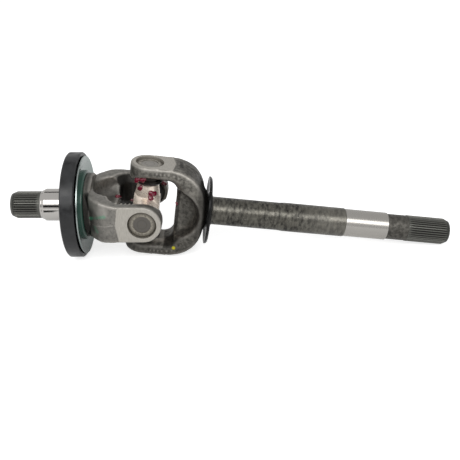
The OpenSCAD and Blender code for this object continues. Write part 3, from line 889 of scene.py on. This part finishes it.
def heat_scale(tree):
    """Heat scale: streaks of 3 mm drawn round the shaft, clouds of 16 mm and pale flecks of 2 mm."""
    along = add_node(tree, "ShaderNodeSeparateXYZ", {0: place_mm(tree, INNER_TURN)}).outputs[0]
    cooler = add_node(tree, "ShaderNodeMapRange", {
        "Value": along, "From Min": COOLER_FROM, "From Max": COOLER_TO, "To Max": COOLER_AMOUNT}).outputs[0]
    streaks = mottle(tree, 3.2, 0.36, 0.64, detail=7, turn=INNER_TURN, stretch=(1, 2.4, 2.4))
    clouds = mottle(tree, 16.0, 0.45, 0.62)
    flecks = mottle(tree, 1.8, 0.62, 0.72, detail=4)
    colour = coats_over(tree, "#272624", (
        (streaks, 1, "#64625b"), (clouds, 0.35, "#6a675f"), (cooler, 1, "#928f87"),
        (flecks, 0.55, "#96928a")))
    rough = add_node(tree, "ShaderNodeMapRange", {"Value": clouds, "To Min": 0.36, "To Max": 0.27})
    bump = add_node(tree, "ShaderNodeBump", {"Height": streaks, "Strength": 0.45, "Distance": 0.14 * MM})
    return {"Base Color": colour, "Metallic": 0.85, "Roughness": rough.outputs[0], "Normal": bump.outputs[0]}


scale_skin = material_from("heat_scaled_steel", heat_scale)
print("heat scale is paler past", COOLER_FROM, "mm")

# %% [markdown]
# Ground journals are the brightest steel: nearly a mirror, with fine scratches round the shaft. Splines are
# phosphated, a dull dark grey that lets only the edges of the teeth shine.

# %% Ground and phosphated steel
def ground_steel(tree, colour, roughness, turn):
    """Ground steel: a soft mirror whose scratches, drawn long round the shaft, change its gloss a little.

    Real ones are a few hundredths of a millimetre wide; they are drawn at 0.5 mm, so that they show."""
    scratch = mottle(tree, 0.5, 0.3, 0.7, detail=2, turn=turn, stretch=(1, 30, 30))
    rough = add_node(tree, "ShaderNodeMapRange", {
        "Value": scratch, "To Min": roughness * 0.8, "To Max": roughness * 1.3})
    return {"Base Color": linear(colour), "Metallic": 1.0, "Roughness": rough.outputs[0]}


def phosphated_steel(tree):
    """Phosphated teeth: dull dark grey, black in the gaps and worn on the crests.

    Real crystals are about a hundredth of a millimetre; they are drawn at 0.7 mm, so that they show."""
    crystals = mottle(tree, 0.7, 0.3, 0.7)
    crest = add_node(tree, "ShaderNodeAttribute", attribute_name="crest").outputs["Fac"]
    tooth = coats_over(tree, "#5b5b57", ((crystals, 1, "#72726d"),))
    colour = coats_over(tree, "#2b2b29", ((crest, 1, tooth),))
    rough = add_node(tree, "ShaderNodeMapRange", {"Value": crystals, "To Min": 0.34, "To Max": 0.5})
    return {"Base Color": colour, "Metallic": 0.9, "Roughness": rough.outputs[0]}


teeth = material_from("phosphated_steel", phosphated_steel)
inner_journal = material_from("ground_steel_inner", lambda tree: ground_steel(
    tree, colour="#aba8a3", roughness=0.22, turn=INNER_TURN))
hub_journal = material_from("ground_steel_hub", lambda tree: ground_steel(
    tree, colour="#c0bdb9", roughness=0.1, turn=HUB_TURN))
print("turned finishes:", teeth.name, inner_journal.name, hub_journal.name)

# %% [markdown]
# A shaft changes its finish along its length: forged yoke, scale, journal, neck and spline. Each stretch is
# a span along x of the shaft's own frame, and a face takes the finish of the span that its centre lies in.

# %% Finishes along the shafts
FORGED, GROUND, SPLINED, SCALED = range(4)
INNER_STRETCHES = ((INNER_CUT_X, 286.0, SCALED), (286.0, 349.9, GROUND), (379.5, 445.0, SPLINED))
HUB_STRETCHES = ((82.5, 147.0, GROUND), (147.0, 190.0, SPLINED))


def finish_stretches(piece, place, stretches, finishes):
    """Gives each face the finish of the last stretch of shaft that its centre lies in."""
    piece.data.materials.clear()
    for finish in finishes:
        piece.data.materials.append(finish)
    centres = np.empty(len(piece.data.polygons) * 3)
    piece.data.polygons.foreach_get("center", centres)
    x = to_local(centres.reshape(-1, 3), place)[:, 0]
    kind = np.full(len(x), FORGED)
    for start, end, stretch_kind in stretches:
        kind[(x > start) & (x < end)] = stretch_kind
    piece.data.polygons.foreach_set("material_index", kind)
    print(piece.name, "faces by finish:", np.bincount(kind).tolist())


finish_stretches(inner_forging, INNER, INNER_STRETCHES, (inner_skin, inner_journal, teeth, scale_skin))
finish_stretches(hub_forging, HUB, HUB_STRETCHES, (hub_skin, hub_journal, teeth, scale_skin))

# %% [markdown]
# A bearing cap is drawn from sheet steel. Its face is brighter in a ring between the dark dimple and the
# rounded edge, so its colour follows the distance from the pin's axis. The wall that stands out of the
# ear's inner face is dark with grease.

# %% Bearing caps
CAP_MARK_R, CAP_MARK_HALF_W = 6.5, 0.9
CAP_DIMPLE_R = (12.6, 11.4)
CAP_EDGE_R = (13.8, 16.4)
CAP_RIM_R = (17.6, 19.0)
CAP_WALL_REACH = (50.5, 49.5)


def cap_steel(tree, turn, face, dimple):
    """Drawn cap: satin ring, oiled dimple with a draw mark, dark edge, worn rim and brown specks of 2 mm."""
    pin_place = place_mm(tree, turn)
    across = add_node(tree, "ShaderNodeVectorMath", {0: pin_place, 1: (1, 1, 0)}, operation="MULTIPLY")
    length = add_node(tree, "ShaderNodeVectorMath", {0: across.outputs[0]}, operation="LENGTH")
    radius = length.outputs["Value"]
    along = add_node(tree, "ShaderNodeSeparateXYZ", {0: pin_place}).outputs[2]
    reach = add_node(tree, "ShaderNodeMath", {0: along}, operation="ABSOLUTE").outputs[0]
    in_dimple, on_edge, on_rim, on_wall = (
        add_node(tree, "ShaderNodeMapRange", {"Value": value, "From Min": low, "From Max": high}).outputs[0]
        for value, (low, high) in ((radius, CAP_DIMPLE_R), (radius, CAP_EDGE_R), (radius, CAP_RIM_R),
                                   (reach, CAP_WALL_REACH)))
    mark = add_node(tree, "ShaderNodeMath", {
        0: radius, 1: CAP_MARK_R, 2: CAP_MARK_HALF_W}, operation="COMPARE").outputs[0]
    specks = mottle(tree, 2.0, 0.46, 0.68)
    colour = coats_over(tree, face, (
        (specks, 1, "#69635a"), (in_dimple, 1, dimple), (mark, 0.3, "#4f4c47"),
        (on_edge, 1, "#6a665e"), (on_rim, 1, face), (specks, 0.3, "#69635a"), (on_wall, 1, "#2a2724")))
    bump = add_node(tree, "ShaderNodeBump", {"Height": specks, "Strength": 0.2, "Distance": 0.1 * MM})
    return {"Base Color": colour, "Metallic": 0.9, "Roughness": 0.38, "Normal": bump.outputs[0]}


inner_cap = material_from("drawn_cap_steel_inner", lambda tree: cap_steel(
    tree, INNER_TURN, face="#a29d93", dimple="#97948e"))
hub_cap = material_from("drawn_cap_steel_hub", lambda tree: cap_steel(
    tree, HUB_TURN, face="#969186", dimple="#625f5b"))
print("cap finishes:", inner_cap.name, hub_cap.name)

# %% [markdown]
# Most of the small pieces have one even finish. A fine grain in the gloss and in the surface keeps them from
# looking like plastic, so one recipe with a few numbers for each finish is enough.

# %% Even finishes
EVEN_FINISHES = {  # colour, metallic, roughness, specular level, grain in millimetres
    "ground_cross_steel": ("#eadccd", 0.55, 0.28, 0.5, 1.2),  # pale and satin, with soft highlights
    "green_coated_steel": ("#2c4a40", 0.0, 0.16, 0.5, 1.5),  # deep and glossy
    "black_painted_steel": ("#060606", 0.0, 0.22, 0.18, 1.5),  # black with a thin bright edge
    "spring_steel": ("#2b2926", 0.9, 0.35, 0.5, 1.0),  # dark and oiled
    "needle_steel": ("#bdbab4", 1.0, 0.2, 0.5, 1.0),  # bright and polished
    "nylon": ("#d8d4c4", 0.0, 0.5, 0.5, 1.0),  # milky and dull
}


def even_finish(tree, colour, metallic, roughness, specular, grain_mm):
    """One colour with a fine grain in its gloss and surface, drawn about 1 mm wide, so that it shows."""
    grain = mottle(tree, grain_mm, 0.3, 0.7)
    rough = add_node(tree, "ShaderNodeMapRange", {
        "Value": grain, "To Min": roughness * 0.85, "To Max": roughness * 1.2})
    bump = add_node(tree, "ShaderNodeBump", {"Height": grain, "Strength": 0.25, "Distance": 0.04 * MM})
    return {"Base Color": linear(colour), "Metallic": metallic, "Roughness": rough.outputs[0],
            "Specular IOR Level": specular, "Normal": bump.outputs[0]}


finish = {name: material_from(name, lambda tree, look=look: even_finish(tree, *look))
          for name, look in EVEN_FINISHES.items()}
print("even finishes:", list(finish))

# %% [markdown]
# Two finishes change across a piece. The zinc on the seal's disc is a soft mirror, with a painted dark
# reflection towards its lower edge. The rubber of the seals is satin, with the paler smudges of a thing in
# use.

# %% Zinc plate and rubber
LOWER_SHADE_HEIGHTS = (-5.0, -45.0)


def zinc_plated_steel(tree):
    """Zinc plate: a soft mirror, darkened on its lower part by a painted reflection. Its crystals are about
    1.2 mm.
    """
    crystals = mottle(tree, 1.2, 0.3, 0.7)
    height = add_node(tree, "ShaderNodeSeparateXYZ", {0: place_mm(tree)}).outputs[2]
    lower_shade = add_node(tree, "ShaderNodeMapRange", {
        "Value": height, "From Min": LOWER_SHADE_HEIGHTS[0], "From Max": LOWER_SHADE_HEIGHTS[1]}).outputs[0]
    # Painted reflection: the disc's lower part is darkened to stand for the darker things it mirrors there.
    colour = coats_over(tree, "#9fa8a5", ((lower_shade, 0.6, "#565d5b"),))
    rough = add_node(tree, "ShaderNodeMapRange", {"Value": crystals, "To Min": 0.23, "To Max": 0.32})
    return {"Base Color": colour, "Metallic": 1.0, "Roughness": rough.outputs[0]}


def black_rubber(tree):
    """Satin rubber with smudges of 14 mm, which are a little paler and less glossy than clean rubber."""
    smudges = mottle(tree, 14.0, 0.4, 0.66, detail=6)
    colour = coats_over(tree, "#0f0f11", ((smudges, 1, "#1e1f21"),))
    rough = add_node(tree, "ShaderNodeMapRange", {"Value": smudges, "To Min": 0.28, "To Max": 0.48})
    return {"Base Color": colour, "Roughness": rough.outputs[0]}


for recipe in (zinc_plated_steel, black_rubber):
    finish[recipe.__name__] = material_from(recipe.__name__, recipe)
    print("finish:", recipe.__name__)

# %% [markdown]
# Each small piece of the CAD now gets its finish. The four ears of the joint carry the same set of pieces,
# so one loop dresses them, and only the caps of the two yokes differ.

# %% Dress the small pieces
node_finish = {"cross": finish["ground_cross_steel"], "slinger": finish["black_painted_steel"],
               "drive_collar": finish["green_coated_steel"], "seal_sleeve": finish["zinc_plated_steel"],
               "seal_case": finish["black_rubber"], "garter_spring": finish["spring_steel"]}
for ear, cap_finish in (("upper", inner_cap), ("lower", inner_cap), ("front", hub_cap), ("rear", hub_cap)):
    node_finish.update({ear + "_cap": cap_finish, ear + "_needles": finish["needle_steel"],
                        ear + "_clip": finish["spring_steel"], ear + "_cap_seal": finish["black_rubber"],
                        ear + "_thrust_washer": finish["nylon"]})
for name, material in node_finish.items():
    nodes[name].data.materials.clear()
    nodes[name].data.materials.append(material)
print("dressed", len(node_finish), "small pieces")

# %% [markdown]
# Fresh red grease has been pressed out of the bearings. A blob could be sculpted, but from this distance a
# small dome with a wavy outline tells as much, and a formula makes each one different.

# %% Shape of a grease blob
BLOB_RINGS = 9
BLOB_STEPS = 30
BLOB_SINK = 0.5
BLOB_HEIGHT = 0.62
BLOB_FALL = 0.6
BLOB_INNER = 0.08
BLOB_WAVES = (0.2, 0.12)


def grease_blob(name, centre, normal, radius, phase):
    """Dome of polar rings: its height falls from the middle as (1 - u²) to a power, u from 0 to 1 at the rim,
    and its outline is a circle whose radius waves by sines of two and three turns."""
    normal = Vector(normal).normalized()
    across = np.array(normal.orthogonal().normalized())
    along = np.cross(np.array(normal), across)
    angles = np.arange(BLOB_STEPS) * 2 * math.pi / BLOB_STEPS
    u, angle = np.meshgrid(np.linspace(1, BLOB_INNER, BLOB_RINGS), angles, indexing="ij")
    two_turns, three_turns = np.sin(2 * angle + phase), np.sin(3 * angle + 2 * phase)
    outline = radius * (1 + BLOB_WAVES[0] * two_turns + BLOB_WAVES[1] * three_turns)
    height = BLOB_HEIGHT * radius * (1 - u ** 2) ** BLOB_FALL - BLOB_SINK
    flat = u[..., None] * outline[..., None]
    points = flat * (np.cos(angle)[..., None] * across + np.sin(angle)[..., None] * along)
    points = points + height[..., None] * np.array(normal)
    rows = np.arange(BLOB_RINGS * BLOB_STEPS).reshape(BLOB_RINGS, BLOB_STEPS)
    turned = np.roll(rows, -1, axis=1)
    quads = np.stack([rows[:-1], turned[:-1], turned[1:], rows[1:]], -1).reshape(-1, 4)
    mesh = bpy.data.meshes.new(name)
    mesh.from_pydata((np.array(CENTRE) + (points.reshape(-1, 3) + centre) * MM).tolist(), [],
                     quads.tolist() + [rows[-1].tolist(), rows[0][::-1].tolist()])
    mesh.shade_smooth()
    blob = bpy.data.objects.new(name, mesh)
    scene.collection.objects.link(blob)
    return blob


print("a blob has", BLOB_RINGS * BLOB_STEPS, "points")

# %% [markdown]
# Each blob is set on the surface that carries it, sunk a little so that no gap shows, and rides on that
# surface's body. Grease is dark red and wet: a low roughness and a thin coat give it small sharp highlights.

# %% Grease
BLOB_PHASE = 1.7
GREASE = (  # body, centre from the joint's centre, normal, radius
    ("cross", (-6.3, -11.7, 30.7), (-0.62, -0.75, 0.24), 4.6),
    ("cross", (10.7, -14.6, 23.0), (0.51, -0.85, 0.1), 5.8),
    ("cross", (8.0, -16.2, 18.2), (0.41, -0.65, 0.65), 4.6),
    ("inner_axle", (-8.5, -15.5, 46.0), (-0.45, -0.87, 0.2), 5.6),
    ("inner_axle", (-1.0, -18.2, 46.2), (-0.35, -0.93, 0.05), 5.0),
    ("hub_axle", (20.7, 45, 12.2), (0, -1, 0), 4.4),
    ("inner_axle", (42.4, -1.8, 2.1), (-0.57, -0.82, 0.05), 2.4),
    ("hub_axle", (-42.7, 16.6, 4.7), (0.43, -0.01, 0.9), 4.5),
    ("hub_axle", (-26.7, 45.6, -14.7), (0, -1, 0), 3.4),
)

red_grease = material_from("red_grease", lambda tree: {
    "Base Color": linear("#6d0b27"), "Roughness": 0.08, "Specular IOR Level": 0.6, "Coat Weight": 0.3})
for number, (body, centre, normal, radius) in enumerate(GREASE, 1):
    blob = grease_blob(f"grease_{number}", centre, normal, radius, BLOB_PHASE * number)
    blob.data.materials.append(red_grease)
    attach(blob, body)
print("grease blobs:", len(GREASE))
